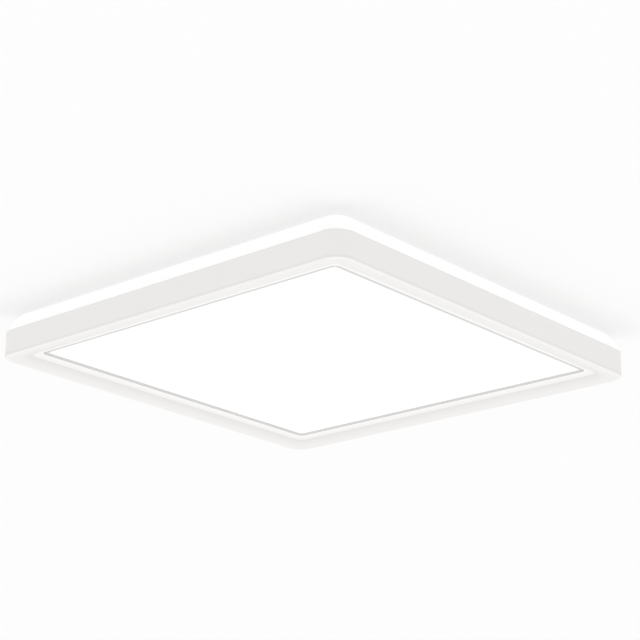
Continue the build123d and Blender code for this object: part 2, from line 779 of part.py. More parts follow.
# ================================================================ wiring box
def cable_grommet():
    """Rubber bush in the pocket's floor, under the bracket's cable hole."""
    low = pocket_under_z - grommet_flange_height
    high = pocket_floor_z + grommet_flange_height
    neck = post(0, 0, grommet_neck_radius - grommet_seat_gap, pocket_under_z, pocket_floor_z)
    lower = post(0, 0, grommet_flange_radius, low, pocket_under_z)
    upper = post(0, 0, grommet_flange_radius, pocket_floor_z, high)
    lower = chamfer(lower.edges().group_by(Axis.Z)[0], grommet_edge)
    upper = chamfer(upper.edges().group_by(Axis.Z)[-1], grommet_edge)
    return neck + lower + upper - post(0, 0, grommet_bore_radius, low, high)


def box_screw_places():
    return [(-box_boss_x, lid_middle_y), (box_boss_x, lid_middle_y)]


def clamp_screw_places():
    return [(clamp_x - clamp_post_spread, clamp_y), (clamp_x + clamp_post_spread, clamp_y)]


def box_shell():
    """Tub under the pan, with a lower neck that reaches under the pocket to the grommet."""
    heights = (tray_top_z, pan_under_z - box_gap)
    box = block(around(0, 2 * box_half_width), (box_back_y, box_front_y), heights)
    box = fillet(box.edges().filter_by(Axis.Z), box_corner)
    neck_z = (tray_top_z, pocket_under_z - box_gap)
    box += block((-neck_reach, neck_reach), (box_front_y - box_wall, neck_reach), neck_z)
    inner = box_half_width - box_wall
    box -= block((-inner, inner), (box_back_y + box_wall, box_front_y - box_wall), (box_floor_z, 0))
    neck_inner = neck_reach - box_wall
    passage = (box_front_y - box_wall - 1, neck_inner)
    return box - block((-neck_inner, neck_inner), passage, (box_floor_z, neck_z[1]))


def wiring_box():
    """Tub with screw bosses, two rests for the lid, posts for the cable clamp and wire holes."""
    box = box_shell()
    for x, y in box_screw_places():
        web = (x, box_half_width) if x > 0 else (-box_half_width, x)
        box += post(x, y, box_boss_radius, tray_top_z, pan_under_z)
        box += block(web, around(y, box_boss_web), (tray_top_z, pan_under_z - 1))
        box -= post(x, y, screw_hole_radius, pan_under_z - box_screw_length, pan_under_z)
    rest_y = (lid_near_y - lid_rest_reach, box_front_y - box_wall / 2)
    rest_x = lid_opening_width / 2 - lid_rest_setback
    for x in (-rest_x, rest_x):
        box += block(around(x, lid_rest_width), rest_y, (tray_top_z, lid_rim_z))
    for x, y in clamp_screw_places():
        box += post(x, y, clamp_post_radius, tray_top_z, clamp_z)
        box -= post(x, y, screw_hole_radius, box_floor_z, clamp_z)
    wall = (-box_half_width - 1, -box_half_width + box_wall + 1)
    return box - [rod_x(wall, y, wire_z, mains_wire / 2 + wire_hole_gap) for y in pole_rows]


def wiring_lid():
    """Flush lid with a stiffening rim, a finger recess and two hinge arms that reach over the pan."""
    lid = lid_prism(lid_gap, lid_under_z, pan_top_z)
    rim_inset_outer = lid_gap + lid_rim_inset
    rim = (lid_rim_z, lid_under_z)
    lid += lid_prism(rim_inset_outer, *rim) - lid_prism(rim_inset_outer + lid_rim_thickness, *rim)
    lid -= post(0, lid_near_y - finger_radius / 3, finger_radius, pan_top_z - finger_depth, pan_top_z)
    for sign in (-1, 1):
        span = knuckle_spans(sign)[0]
        arm_end = lid_far_y + lid_arm_reach
        lid += rod_x(span, hinge_y, hinge_z, knuckle_radius)
        lid += block(span, (hinge_y, arm_end), (pan_top_z + knuckle_lift, hinge_z))
        lid += block(span, (lid_far_y + lid_gap, arm_end), (lid_under_z, hinge_z))
        lid -= pin_bore(span)
    return lid


def hinge_pins():
    pins = []
    for sign in (-1, 1):
        inner, outer = knuckle_spans(sign)
        span = (min(inner + outer), max(inner + outer))
        pins.append(rod_x(span, hinge_y, hinge_z, pin_radius))
    return joined(pins)


def cable_clamp():
    """Saddle that presses the supply cable down, arched over it, with two screw holes."""
    reach = 2 * (clamp_post_spread + clamp_post_radius)
    top = clamp_z + clamp_thickness
    width = around(clamp_y, clamp_width)
    arch = rod_y(clamp_x, width, clamp_z, clamp_arch_radius + clamp_arch_wall)
    arch -= block(around(clamp_x, reach), width, (bottom_z, clamp_z))
    saddle = block(around(clamp_x, reach), width, (clamp_z, top)) + arch
    saddle -= rod_y(clamp_x, width, clamp_z, clamp_arch_radius)
    return saddle - [post(x, y, screw_pass_radius, clamp_z, top) for x, y in clamp_screw_places()]


def cable_clamp_screws():
    seat = clamp_z + clamp_thickness
    return joined([screw(x, y, seat, clamp_screw_length) for x, y in clamp_screw_places()])


# ================================================================ terminal
def button_prism(y, gap, z_low, z_high):
    """Button's outline made larger all round by gap."""
    x = around(button_x, button_length + 2 * gap)
    return block(x, around(y, button_width + 2 * gap), (z_low, z_high))


def terminal_block():
    """Two-pole terminal: round entries, contact chambers, button pockets and a groove between the poles."""
    body_x = (terminal_x, terminal_face_x)
    body = block(body_x, around(terminal_middle_y, terminal_width), (box_floor_z, terminal_top_z))
    body = chamfer(body.edges().group_by(Axis.Z)[-1], terminal_edge)
    chamber_x = (terminal_x, terminal_x + contact_length + 2 * contact_clearance)
    button_low_z = button_top_z - button_height
    for y in pole_rows:
        body -= rod_x((terminal_face_x - entry_depth, terminal_face_x), y, wire_z, entry_radius)
        body -= block(chamber_x, around(y, contact_chamber), around(wire_z, contact_chamber))
        pocket_z = button_low_z - button_travel - button_pocket_gap
        body -= button_prism(y, button_pocket_gap, pocket_z, terminal_top_z)
    groove_z = (terminal_top_z - pole_groove, terminal_top_z)
    return body - block(body_x, around(terminal_middle_y, pole_groove), groove_z)


def release_button(y):
    button = button_prism(y, 0, button_top_z - button_height, button_top_z)
    button = chamfer(button.edges().group_by(Axis.Z)[-1], button_edge)
    slot_z = (button_top_z - button_slot_depth, button_top_z)
    return button - block(around(button_x, button_slot_width), around(y, button_slot_length), slot_z)


def terminal_contacts():
    """Brass cages that stand on the chambers' floors, with a bore for the wire's end."""
    x = (terminal_x + contact_clearance, terminal_x + contact_clearance + contact_length)
    z = (wire_z - contact_chamber / 2, wire_z + contact_chamber / 2 - contact_clearance)
    cages = []
    for y in pole_rows:
        cage = block(x, around(y, contact_chamber - 2 * contact_clearance), z)
        cages.append(cage - rod_x((x[1] - contact_bore_depth, x[1]), y, wire_z, entry_radius))
    return joined(cages)


# ================================================================ driver
def driver_screw_places():
    return [(-driver_boss_x, driver_boss_y), (driver_boss_x, driver_boss_y)]


def hanging_screws(places):
    """Screws through the pan's top into bosses below it."""
    return joined([screw(x, y, pan_top_z, box_screw_length) for x, y in places])


def driver_plan():
    """Length and width of the driver as (low, high) pairs."""
    return (-driver_end_x, driver_end_x), (driver_front_y, driver_back_y)


def driver_case():
    """Moulded cover, closed on top, with two screw bosses and holes for the wires."""
    x, y = driver_plan()
    case = block(x, y, (driver_case_z, pan_under_z))
    case = fillet(case.edges().filter_by(Axis.Z), driver_corner)
    inner_x = (x[0] + driver_wall, x[1] - driver_wall)
    inner_y = (y[0] + driver_wall, y[1] - driver_wall)
    case -= block(inner_x, inner_y, (driver_case_z, pan_under_z - driver_wall))
    for boss_x, boss_y in driver_screw_places():
        boss_low = board_top_z + driver_boss_board_gap
        case += post(boss_x, boss_y, driver_boss_radius, boss_low, pan_under_z - driver_wall / 2)
        case -= post(boss_x, boss_y, screw_hole_radius, pan_under_z - box_screw_length, pan_under_z)
    front_wall = (y[0] - 1, y[0] + driver_wall + 1)
    case -= [rod_y(lane, front_wall, wire_z, mains_wire / 2 + lead_hole_gap) for lane in mains_lanes]
    end_wall = (driver_end_x - driver_wall - 1, driver_end_x + 1)
    lead_height = around(lead_z, 2 * lead_hole)
    other_wall = mirrored(end_wall)
    for wall, middle in ((end_wall, driver_lead_y), (end_wall, halo_lead_y), (other_wall, driver_lead_y)):
        case -= block(wall, pair_span(middle), lead_height)
    return case


def driver_case_lid():
    """Bottom cover with four feet that carry the circuit board."""
    x, y = driver_plan()
    lid = block(x, y, (driver_lid_z, driver_case_z))
    lid = fillet(lid.edges().filter_by(Axis.Z), driver_corner)
    for foot_x in (x[0] + driver_foot_end_inset, x[1] - driver_foot_end_inset):
        for foot_y in (y[0] + driver_foot_side_inset, y[1] - driver_foot_side_inset):
            foot = (around(foot_x, driver_foot_width), around(foot_y, driver_foot_width))
            lid += block(*foot, (driver_case_z, driver_board_z))
    return lid


def driver_circuit_board():
    x, y = driver_plan()
    edge = driver_wall + driver_board_gap
    return block((x[0] + edge, x[1] - edge), (y[0] + edge, y[1] - edge), (driver_board_z, board_top_z))


def driver_transformer():
    """Ferrite core: two outer legs, two backs and a middle leg, standing on the board."""
    z = (board_top_z, pan_under_z - driver_wall - core_head_room)
    y = around(driver_front_y + driver_width / 2, core_width)
    window_y = (y[0] + core_back, y[1] - core_back)
    core = block(around(core_middle, core_length), y, z)
    core -= block(around(core_middle, core_length - 2 * core_leg), window_y, z)
    return core + block(around(core_middle, core_middle_leg), y, z)


def driver_winding():
    """Two wound halves in the core's windows."""
    y = around(driver_front_y + driver_width / 2, core_width - 2 * core_back - 2 * winding_gap)
    z = (board_top_z, pan_under_z - driver_wall - core_head_room - winding_gap)
    reach = (core_middle_leg / 2 + winding_gap, core_length / 2 - core_leg - winding_gap)
    right = Pos(core_middle, 0, 0) * block(reach, y, z)
    left = Pos(core_middle, 0, 0) * block(mirrored(reach), y, z)
    return joined([left, right])


def driver_capacitors():
    """Two electrolytic cans that lie on the board and nearly fill the case's height."""
    radius = (driver_room - can_head_room) / 2
    cans = []
    for middle, from_front, length in (mains_can, output_can):
        cans.append(rod_x(around(middle, length), driver_front_y + from_front, board_top_z + radius, radius))
    return joined(cans)


def driver_small_parts():
    """Blocks of the smaller parts, standing on the board."""
    parts_on_board = (film_capacitor, mains_choke, bridge_rectifier, slow_fuse, controller_chip, power_chip)
    blocks = []
    for middle, from_front, length, width, tall in parts_on_board:
        y = around(driver_front_y + from_front, width)
        blocks.append(block(around(middle, length), y, (board_top_z, board_top_z + tall)))
    return joined(blocks)


# ================================================================ wires
def mains_lead(row, lane):
    """From a terminal contact, out of the wiring box, across under the pocket and into the driver."""
    start = (terminal_x + contact_clearance, row, wire_z)
    end = (lane, driver_front_y + driver_lead_inside, wire_z)
    return wire([start, (lane, row, wire_z), end], [mains_bend], mains_wire)


def front_lead_pair(sign):
    """Two wires from the driver's end to the light board on this side."""
    wires = []
    out_x = driver_end_x + driver_lead_straight
    turn_x = half - pan_inset - pan_lead_straight
    for row, far in zip(lead_rows(driver_lead_y), lead_rows(front_lead_y)):
        points = [
            (sign * (driver_end_x - driver_lead_inside), row, lead_z),
            (sign * out_x, row, lead_z),
            (sign * turn_x, far, pass_z),
            (sign * lead_down_x, far, pass_z),
            (sign * lead_down_x, far, diffuser_top_z + lead_wire / 2),
        ]
        wires.append(wire(points, lead_bends, lead_wire))
    return joined(wires)


def halo_leads():
    """Two wires from the driver's end through the pan's wall to the board behind the ring."""
    wires = []
    face_x = halo_board_face + lead_wire / 2
    wall_x = half - pan_inset
    for row in lead_rows(halo_lead_y):
        points = [
            (driver_end_x - driver_lead_inside, row, lead_z),
            (wall_x - halo_lead_rise[0], row, lead_z),
            (wall_x - halo_lead_rise[1], row, pass_z),
            (face_x, row, pass_z),
            (face_x, row, halo_board_top_z - lead_wire / 2),
        ]
        wires.append(wire(points, halo_lead_bends, lead_wire))
    return joined(wires)


def halo_jumper_wires():
    """Pairs that carry the supply round three corners from board to board."""
    line = halo_board_face + lead_wire / 2
    start = halo_board_length / 2 - lead_end_inset
    bend = pan_corner + jumper_bend_gap
    wires = []
    for z in around(halo_chip_z, jumper_gap + lead_wire):
        jumper = wire([(line, start, z), (line, line, z), (start, line, z)], [bend], lead_wire)
        wires += [Rot(0, 0, 90 * turn) * jumper for turn in range(3)]
    return joined(wires)


# ================================================================ all pieces
pieces = {
    "ceiling_bracket": ceiling_bracket(),
    "spring_clip_right": spring_clip(),
    "spring_clip_left": Rot(0, 0, 180) * spring_clip(),
    "clip_rivets": clip_rivets(),
    "bezel_frame": bezel_frame(),
    "front_diffuser": front_diffuser(),
    "light_guide_plate": light_guide_plate(),
    "reflector_sheet": reflector_sheet(),
    "edge_foam_strips": edge_foam_strips(),
    "light_tray": light_tray(),
    "front_led_board_right": front_led_board(),
    "front_led_board_left": Rot(0, 0, 180) * front_led_board(),
    "front_led_chips": front_led_chips(),
    "glow_ring": glow_ring(),
    "ring_screws": ring_screws(),
    "rear_pan": rear_pan(),
    "pan_screws": pan_screws(),
    "halo_led_chips": halo_led_chips(),
    "cable_grommet": cable_grommet(),
    "wiring_box": wiring_box(),
    "wiring_box_screws": hanging_screws(box_screw_places()),
    "cable_clamp": cable_clamp(),
    "cable_clamp_screws": cable_clamp_screws(),
    "wiring_lid": wiring_lid(),
    "hinge_pins": hinge_pins(),
    "terminal_block": terminal_block(),
    "terminal_contacts": terminal_contacts(),
    "release_button_neutral": release_button(pole_rows[0]),
    "release_button_live": release_button(pole_rows[1]),
    "driver_case": driver_case(),
    "driver_case_lid": driver_case_lid(),
    "driver_screws": hanging_screws(driver_screw_places()),
    "driver_circuit_board": driver_circuit_board(),
    "driver_transformer": driver_transformer(),
    "driver_winding": driver_winding(),
    "driver_capacitors": driver_capacitors(),
    "driver_small_parts": driver_small_parts(),
    "mains_lead_neutral": mains_lead(pole_rows[0], mains_lanes[0]),
    "mains_lead_live": mains_lead(pole_rows[1], mains_lanes[1]),
    "front_leads_right": front_lead_pair(1),
    "front_leads_left": front_lead_pair(-1),
    "halo_leads": halo_leads(),
    "halo_jumper_wires": halo_jumper_wires(),
}
for turn, where in enumerate(("east", "north", "west", "south")):
    pieces["halo_led_board_" + where] = Rot(0, 0, 90 * turn) * halo_led_board()

os.makedirs("parts", exist_ok=True)
for name, shape in pieces.items():
    export_step(shape, os.path.join("parts", name + ".step"))
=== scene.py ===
# Square flush ceiling light, seen from below: curved bezel, opal front and a ring that glows at the ceiling.
# Sizes are in millimetres from the middle of the ceiling face, with z down to -29; an inset is the distance
# in from the outer wall.
import json
import math

import bpy
import bmesh
import numpy as np
from mathutils import Matrix, Vector


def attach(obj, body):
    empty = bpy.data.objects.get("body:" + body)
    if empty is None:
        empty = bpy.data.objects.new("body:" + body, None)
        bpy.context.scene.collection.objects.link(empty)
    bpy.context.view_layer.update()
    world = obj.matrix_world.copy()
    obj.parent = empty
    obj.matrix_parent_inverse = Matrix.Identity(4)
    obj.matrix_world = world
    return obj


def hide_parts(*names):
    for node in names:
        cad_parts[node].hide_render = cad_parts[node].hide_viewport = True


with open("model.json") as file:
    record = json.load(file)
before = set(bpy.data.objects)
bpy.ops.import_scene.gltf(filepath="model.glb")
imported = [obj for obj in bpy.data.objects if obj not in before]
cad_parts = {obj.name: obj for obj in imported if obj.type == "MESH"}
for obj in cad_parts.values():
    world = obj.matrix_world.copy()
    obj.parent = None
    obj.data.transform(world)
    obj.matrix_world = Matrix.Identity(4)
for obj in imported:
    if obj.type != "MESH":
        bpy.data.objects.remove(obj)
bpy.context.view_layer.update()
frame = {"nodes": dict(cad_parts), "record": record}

mm = 0.001
nodes = frame["nodes"]
slotOf = {part["node"]: part["material_slot"] for part in frame["record"]["subparts"]}
print("frame loaded:", len(nodes), "nodes")

# How finely corners are cut, how close points may lie before they count as one, and where shading breaks.
fine = dict(cornerSteps=9, plateCornerSteps=6, hardCut=1e-4, cutMargin=1e-3, leastSquare=1e-6,
            samePoint=1e-5, weld=1e-7, sharpAngle=40, flatWeight=90)


def roundCorners(points, cuts, steps):
    # Each corner of a line becomes a circular arc from cut before it to cut after it: the rational
    # quadratic curve ((1-t)^2 A + 2wt(1-t) P + t^2 C) / ((1-t)^2 + 2wt(1-t) + t^2), w = cos(half the turn).
    p = np.asarray(points, float)
    cut = np.asarray(cuts, float)[:, None]
    before = np.roll(p, 1, 0) - p
    after = np.roll(p, -1, 0) - p
    before /= np.linalg.norm(before, axis=1, keepdims=True)
    after /= np.linalg.norm(after, axis=1, keepdims=True)
    a, c = p + before * cut, p + after * cut
    cosTurn = -(before * after).sum(1)
    w = np.sqrt(np.clip((1 + cosTurn) / 2, fine["leastSquare"], 1))[:, None, None]
    t = np.linspace(0, 1, steps)[None, :, None]
    low, mid, high = (1 - t) ** 2, 2 * w * t * (1 - t), t ** 2
    curve = (low * a[:, None] + mid * p[:, None] + high * c[:, None]) / (low + mid + high)
    return curve.reshape(-1, p.shape[1])


def distinct(line, closed):
    # Keeps a point where its distance to the one before it is more than samePoint.
    apart = np.linalg.norm(line - np.roll(line, 1, 0), axis=1) > fine["samePoint"]
    if not closed:
        apart[0] = True
    return line[apart]


def squareRing(inset, radius, arcSteps, half):
    # Rounded square round the z axis: corner k is centred half - inset - radius from both axes, and its arc
    # runs from k * 90 to (k + 1) * 90 degrees. inset and radius are arrays, one value for each ring.
    radius = np.minimum(radius, half - inset)
    angle = np.linspace(0, math.pi / 2, arcSteps)[None, :] + np.arange(4)[:, None] * math.pi / 2
    centre = np.array([[1, 1], [-1, 1], [-1, -1], [1, -1]])[None, :, None, :]
    reach = (half - inset - radius)[:, None, None, None]
    ray = np.stack([np.cos(angle), np.sin(angle)], -1)[None]
    xy = centre * reach + ray * radius[:, None, None, None]
    return xy.reshape(len(inset), -1, 2)


def gridFaces(rows, columns, closedRows, closedColumns):
    # Point (r, c) of a grid is number r * columns + c; each quad joins rows r and r + 1, columns c and c + 1,
    # and wraps round where the grid closes.
    r = np.arange(rows if closedRows else rows - 1)[:, None]
    c = np.arange(columns if closedColumns else columns - 1)[None, :]
    r2, c2 = (r + 1) % rows, (c + 1) % columns
    quads = np.stack([r * columns + c, r * columns + c2, r2 * columns + c2, r2 * columns + c], -1)
    return quads.reshape(-1, 4)


def sweptSquare(section, radius, arcSteps, half, closed=True):
    # Surface over (section, angle): each section point (inset, z) runs round its own rounded square.
    inset, z = section[:, 0], section[:, 1]
    xy = squareRing(inset, radius, arcSteps, half)
    verts = np.concatenate([xy, np.broadcast_to(z[:, None, None], xy.shape[:2] + (1,))], -1)
    return verts.reshape(-1, 3), gridFaces(len(section), xy.shape[1], closed, True)


def merged(parts):
    # Several (verts, faces) as one: each part's faces count on from the points before it.
    starts = np.cumsum([0] + [len(verts) for verts, faces in parts])
    allFaces = [quad.tolist() for (verts, faces), start in zip(parts, starts) for quad in faces + start]
    return np.concatenate([verts for verts, faces in parts]), allFaces


def meshObject(name, verts, faces, material, body, stands, marks=None):
    # Millimetre points and quads to one closed, outward-facing piece at the origin, in metres; marks are
    # named values for each point that the material reads.
    mesh = bpy.data.meshes.new(name)
    mesh.from_pydata((np.asarray(verts) * mm).tolist(), [], np.asarray(faces).tolist())
    for mark, values in (marks or {}).items():
        attribute = mesh.attributes.new(mark, "FLOAT", "POINT")
        attribute.data.foreach_set("value", np.asarray(values, np.float32))
    work = bmesh.new()
    work.from_mesh(mesh)
    bmesh.ops.remove_doubles(work, verts=work.verts, dist=fine["weld"])
    bmesh.ops.dissolve_degenerate(work, edges=work.edges, dist=fine["weld"])
    bmesh.ops.recalc_face_normals(work, faces=work.faces)
    work.to_mesh(mesh)
    work.free()
    mesh.polygons.foreach_set("use_smooth", np.full(len(mesh.polygons), True))
    mesh.set_sharp_from_angle(angle=math.radians(fine["sharpAngle"]))
    mesh.materials.append(material)
    piece = bpy.data.objects.new(name, mesh)
    bpy.context.scene.collection.objects.link(piece)
    weighted = piece.modifiers.new("flatFacesStayFlat", "WEIGHTED_NORMAL")
    weighted.keep_sharp = True
    weighted.weight = fine["flatWeight"]
    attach(piece, body)
    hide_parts(*stands)
    return piece


def addNode(tree, kind, **settings):
    # One shader node with its settings.
    node = tree.nodes.new(kind)
    for name, value in settings.items():
        setattr(node, name, value)
    return node


def shaderOf(material):
    # The material's node tree, its shader and its object coordinates.
    tree = material.node_tree
    place = next(node for node in tree.nodes if node.type == "TEX_COORD")
    return tree, tree.nodes["Principled BSDF"], place.outputs["Object"]


def colorMix(tree, share, first, second):
    # first * (1 - share) + second * share, where first and second are colours or the outputs of nodes. The
    # mix node's inputs 6 and 7 are its two colours, and output 2 is their mix.
    mix = addNode(tree, "ShaderNodeMix", data_type="RGBA")
    tree.links.new(share, mix.inputs[0])
    for socket, value in ((mix.inputs[6], first), (mix.inputs[7], second)):
        if isinstance(value, tuple):
            socket.default_value = (*value, 1)
        else:
            tree.links.new(value, socket)
    return mix.outputs[2]


def smoothShare(tree, value, start, stop, low=0.0, high=1.0):
    # low + (high - low) * (3t^2 - 2t^3), with t from 0 at start to 1 at stop.
    share = addNode(tree, "ShaderNodeMapRange", interpolation_type="SMOOTHSTEP")
    settings = {"From Min": start * mm, "From Max": stop * mm, "To Min": low, "To Max": high}
    for name, setting in settings.items():
        share.inputs[name].default_value = setting
    tree.links.new(value, share.inputs["Value"])
    return share.outputs["Result"]


def squareReach(tree, place, softness):
    # How far out a point lies as a square grows from the middle: the larger of |x| and |y|, where softness,
    # the node's input 2, rounds the change from one to the other.
    size = addNode(tree, "ShaderNodeVectorMath", operation="ABSOLUTE")
    tree.links.new(place, size.inputs[0])
    split = addNode(tree, "ShaderNodeSeparateXYZ")
    tree.links.new(size.outputs["Vector"], split.inputs["Vector"])
    larger = addNode(tree, "ShaderNodeMath", operation="SMOOTH_MAX")
    larger.inputs[2].default_value = softness * mm
    tree.links.new(split.outputs["X"], larger.inputs[0])
    tree.links.new(split.outputs["Y"], larger.inputs[1])
    return larger.outputs[0]


# What a finish has where it says nothing else. Scales count features per metre, and subsurfaceScale and
# bumpDepth are in millimetres.
plainLook = dict(metallic=0, ior=1.5, coat=0, coatRoughness=0.1, specular=0.5, transmission=0, subsurface=0,
                 subsurfaceScale=2.0, stretch=(1, 1, 1), cloudScale=60, cloudDetail=3, roughScale=90,
                 roughDetail=4, bump=0.1, bumpDepth=0.05, bumpScale=2500, bumpDetail=3)


def nodeMaterial(name, own):
    # Colour = color * (1 - cloud) + color2 * cloud, with a cloud or cells from 0 to 1; roughness goes between
    # its two limits by noise, and the relief is finer noise. All of them follow object coordinates, which
    # stretch multiplies.
    look = {**plainLook, "color2": own["color"], **own}
    material = bpy.data.materials.new(name)
    material.use_nodes = True
    tree = material.node_tree
    shader = tree.nodes["Principled BSDF"]
    plain = {"Metallic": look["metallic"], "IOR": look["ior"], "Coat Weight": look["coat"],
             "Coat Roughness": look["coatRoughness"], "Specular IOR Level": look["specular"],
             "Transmission Weight": look["transmission"], "Subsurface Weight": look["subsurface"],
             "Subsurface Scale": look["subsurfaceScale"] * mm}
    for socket, value in plain.items():
        shader.inputs[socket].default_value = value
    place = addNode(tree, "ShaderNodeTexCoord")
    turn = addNode(tree, "ShaderNodeMapping")
    turn.inputs["Scale"].default_value = look["stretch"]
    tree.links.new(place.outputs["Object"], turn.inputs["Vector"])

    def noise(scale, detail):
        texture = addNode(tree, "ShaderNodeTexNoise")
        texture.inputs["Scale"].default_value = scale
        texture.inputs["Detail"].default_value = detail
        tree.links.new(turn.outputs["Vector"], texture.inputs["Vector"])
        return texture.outputs["Fac"]

    def cells(scale):
        texture = addNode(tree, "ShaderNodeTexVoronoi")
        texture.inputs["Scale"].default_value = scale
        tree.links.new(turn.outputs["Vector"], texture.inputs["Vector"])
        split = addNode(tree, "ShaderNodeSeparateColor")
        tree.links.new(texture.outputs["Color"], split.inputs["Color"])
        return split.outputs["Red"]

    cloud = cells(look["cells"]) if "cells" in look else noise(look["cloudScale"], look["cloudDetail"])
    tint = colorMix(tree, cloud, look["color"], look["color2"])
    tree.links.new(tint, shader.inputs["Base Color"])
    rough = addNode(tree, "ShaderNodeMapRange")
    rough.inputs["To Min"].default_value, rough.inputs["To Max"].default_value = look["roughness"]
    tree.links.new(noise(look["roughScale"], look["roughDetail"]), rough.inputs["Value"])
    tree.links.new(rough.outputs["Result"], shader.inputs["Roughness"])
    relief = addNode(tree, "ShaderNodeBump")
    relief.inputs["Strength"].default_value = look["bump"]
    relief.inputs["Distance"].default_value = look["bumpDepth"] * mm
    tree.links.new(noise(look["bumpScale"], look["bumpDetail"]), relief.inputs["Height"])
    tree.links.new(relief.outputs["Normal"], shader.inputs["Normal"])
    return material


def glowFront(material, s):
    # Emission and colour both go from their edge value to the full one by the smooth share of the square
    # distance, so that the sheet is dim beside the frame: the emission fades as the sheet's own glow, and the
    # darker colour there is painted shade of the frame's lip.
    tree, shader, place = shaderOf(material)
    share = smoothShare(tree, squareReach(tree, place, s["cornerSoftness"]), s["edge"], s["full"])
    own = shader.inputs["Base Color"].links[0].from_socket
    shader.inputs["Emission Strength"].default_value = s["strength"]
    tree.links.new(colorMix(tree, share, (0.0, 0.0, 0.0), s["color"]), shader.inputs["Emission Color"])
    tree.links.new(colorMix(tree, share, s["lipPaintedShadeColor"], own), shader.inputs["Base Color"])


def glowRing(material, s):
    # Emission = colour * height share * rim share: the glow starts just above the frame and belongs to the
    # outer rim, and the flange that lies on the pan is duller by the same rim share.
    tree, shader, place = shaderOf(material)
    split = addNode(tree, "ShaderNodeSeparateXYZ")
    tree.links.new(place, split.inputs["Vector"])
    rise = smoothShare(tree, split.outputs["Z"], s["low"], s["high"])
    rim = smoothShare(tree, squareReach(tree, place, 0.0), s["inner"], s["outer"], s["innerShare"], 1.0)
    own = shader.inputs["Base Color"].links[0].from_socket
    shader.inputs["Emission Strength"].default_value = s["strength"]
    lit = colorMix(tree, rise, tuple(c * s["lowShare"] for c in s["color"]), s["color"])
    tree.links.new(colorMix(tree, rim, (0.0, 0.0, 0.0), lit), shader.inputs["Emission Color"])
    tree.links.new(colorMix(tree, rim, s["innerColor"], own), shader.inputs["Base Color"])


def frameShadeAndLightPaint(material, s):
    # Colour = own * (1 - shade mark) + shade colour * shade mark, which is painted shade. Emission =
    # strength * (light mark - shade mark), painted light that stands for light from the opal front on the
    # band beside it and makes a painted highlight along the rounded lower edge. Both marks are on the mesh.
    tree, shader, place = shaderOf(material)
    paintedShadeMark, paintedLightMark = (addNode(tree, "ShaderNodeAttribute", attribute_name=name).outputs["Fac"]
                   for name in ("paintedShadeMark", "paintedLightMark"))
    own = shader.inputs["Base Color"].links[0].from_socket
    tree.links.new(colorMix(tree, paintedShadeMark, own, s["paintedShadeColor"]), shader.inputs["Base Color"])
    light = addNode(tree, "ShaderNodeMath", operation="SUBTRACT", use_clamp=True)
    tree.links.new(paintedLightMark, light.inputs[0])
    tree.links.new(paintedShadeMark, light.inputs[1])
    glow = colorMix(tree, light.outputs[0], (0.0, 0.0, 0.0), (1.0, 1.0, 1.0))
    tree.links.new(glow, shader.inputs["Emission Color"])
    shader.inputs["Emission Strength"].default_value = s["paintedLightStrength"]


